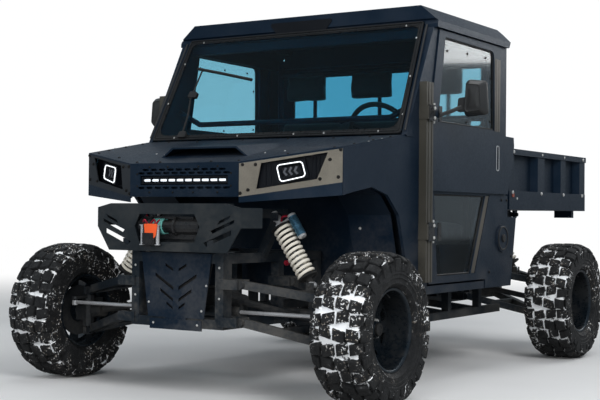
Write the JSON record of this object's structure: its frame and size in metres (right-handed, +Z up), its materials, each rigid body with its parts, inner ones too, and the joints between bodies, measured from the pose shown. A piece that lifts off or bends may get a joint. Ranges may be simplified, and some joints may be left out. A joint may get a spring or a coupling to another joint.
{
  "type": "side by side utv",
  "caption": "Closed-cab side by side utility vehicle with long A-arm suspension, folded steel body, winch bumper and a tipping load bed with tailgate.",
  "frame": {"origin": "on the ground under the middle of the bounding box", "axes": "+X to the vehicle's left, front towards -Y, +Z up"},
  "size_m": [2.124, 3.552, 1.906],
  "materials": {
    "tyre": "matte",
    "rim": "satin",
    "knuckle": "satin",
    "frame": "matte",
    "spring": "satin",
    "body": "matte",
    "lamp_plate": "satin",
    "lamp": "clear",
    "glass": "clear",
    "trim": "matte",
    "seat": "matte",
    "engine": "matte",
    "winch": "satin"
  },
  "bodies": {
    "chassis": {"lower_frame": "frame", "skid_plate": "body", "floor_pan": "body", "engine_block": "engine", "front_bumper": "body", "winch": "winch", "hood": "body", "front_fascia": "body", "lamp_plates": "lamp_plate", "front_lamps": "lamp", "front_fenders": "body", "cab_frame": "frame", "cab_glass": "glass", "roof_panel": "body", "rear_wall": "body", "quarter_panels": "body", "hinge_posts": "body", "dashboard": "trim", "bench_seat": "seat", "suspension_arms": "frame", "shocks": "spring", "rear_hub_carriers": "knuckle", "axle_drives": "knuckle"},
    "steered_left": {"knuckle_left": "knuckle"},
    "steered_right": {"knuckle_right": "knuckle"},
    "rack": {"tie_rods": "knuckle"},
    "steering": {"steering_wheel": "trim"},
    "wheel_front_left": {"tyre_front_left": "tyre", "rim_front_left": "rim"},
    "wheel_front_right": {"tyre_front_right": "tyre", "rim_front_right": "rim"},
    "wheel_rear_left": {"tyre_rear_left": "tyre", "rim_rear_left": "rim"},
    "wheel_rear_right": {"tyre_rear_right": "tyre", "rim_rear_right": "rim"},
    "left_door": {"door_left": "body", "door_glass_left": "glass", "mirror_left": "trim"},
    "right_door": {"door_right": "body", "door_glass_right": "glass", "mirror_right": "trim"},
    "load_bed": {"bed": "body"},
    "rear_gate": {"tailgate": "body"},
    "lift_cylinder": {"lift_barrel": "frame"},
    "lift_piston": {"lift_rod": "knuckle"}
  },
  "joints": [
    {"name": "steer_left", "type": "hinge", "parent": "chassis", "child": "steered_left", "pos_m": [0.775, -1.404, 0.343], "axis": [0, 0, 1], "range_deg": [-28, 28]},
    {"name": "steer_right", "type": "hinge", "parent": "chassis", "child": "steered_right", "pos_m": [-0.775, -1.404, 0.343], "axis": [0, 0, 1], "range_deg": [-28, 28]},
    {"name": "rack_slide", "type": "slide", "parent": "chassis", "child": "rack", "axis": [1, 0, 0], "range_m": [-0.0546, 0.0546]},
    {"name": "steering_wheel_turn", "type": "hinge", "parent": "chassis", "child": "steering", "pos_m": [0.43, -0.499, 1.262], "axis": [0, 0.891, 0.454], "range_deg": [-420.5, 420.5]},
    {"name": "wheel_spin_front_left", "type": "hinge", "parent": "steered_left", "child": "wheel_front_left", "pos_m": [0.89, -1.404, 0.343], "axis": [1, 0, 0], "continuous": true},
    {"name": "wheel_spin_front_right", "type": "hinge", "parent": "steered_right", "child": "wheel_front_right", "pos_m": [-0.89, -1.404, 0.343], "axis": [1, 0, 0], "continuous": true},
    {"name": "wheel_spin_rear_left", "type": "hinge", "parent": "chassis", "child": "wheel_rear_left", "pos_m": [0.89, 0.972, 0.343], "axis": [1, 0, 0], "continuous": true},
    {"name": "wheel_spin_rear_right", "type": "hinge", "parent": "chassis", "child": "wheel_rear_right", "pos_m": [-0.89, 0.972, 0.343], "axis": [1, 0, 0], "continuous": true},
    {"name": "door_left_hinge", "type": "hinge", "parent": "chassis", "child": "left_door", "pos_m": [0.828, -0.682, 1.06], "axis": [0, 0, -1], "range_deg": [0, 70]},
    {"name": "door_right_hinge", "type": "hinge", "parent": "chassis", "child": "right_door", "pos_m": [-0.828, -0.682, 1.06], "axis": [0, 0, 1], "range_deg": [0, 70]},
    {"name": "bed_tilt", "type": "hinge", "parent": "chassis", "child": "load_bed", "pos_m": [0, 1.656, 0.858], "axis": [-1, 0, 0], "range_deg": [0, 45]},
    {"name": "tailgate_hinge", "type": "hinge", "parent": "load_bed", "child": "rear_gate", "pos_m": [0, 1.764, 0.897], "axis": [-1, 0, 0], "range_deg": [0, 90]},
    {"name": "lift_pivot", "type": "hinge", "parent": "chassis", "child": "lift_cylinder", "pos_m": [0, 1.47005, 0.45922], "axis": [-1, 0, 0], "range_deg": [0, 22.6]},
    {"name": "lift_stroke", "type": "slide", "parent": "lift_cylinder", "child": "lift_piston", "axis": [0, -0.5736, 0.8192], "range_m": [0, 0.27]}
  ],
  "couplings": [
    {"joint": "steer_right", "follows": "steer_left", "ratio": 1},
    {"joint": "rack_slide", "follows": "steer_left", "m_per_rad": 0.11},
    {"joint": "steering_wheel_turn", "follows": "steer_left", "ratio": 15},
    {"joint": "lift_pivot", "follows": "bed_tilt", "ratio": 0.5},
    {"joint": "lift_stroke", "follows": "bed_tilt", "m_per_rad": 0.338}
  ]
}
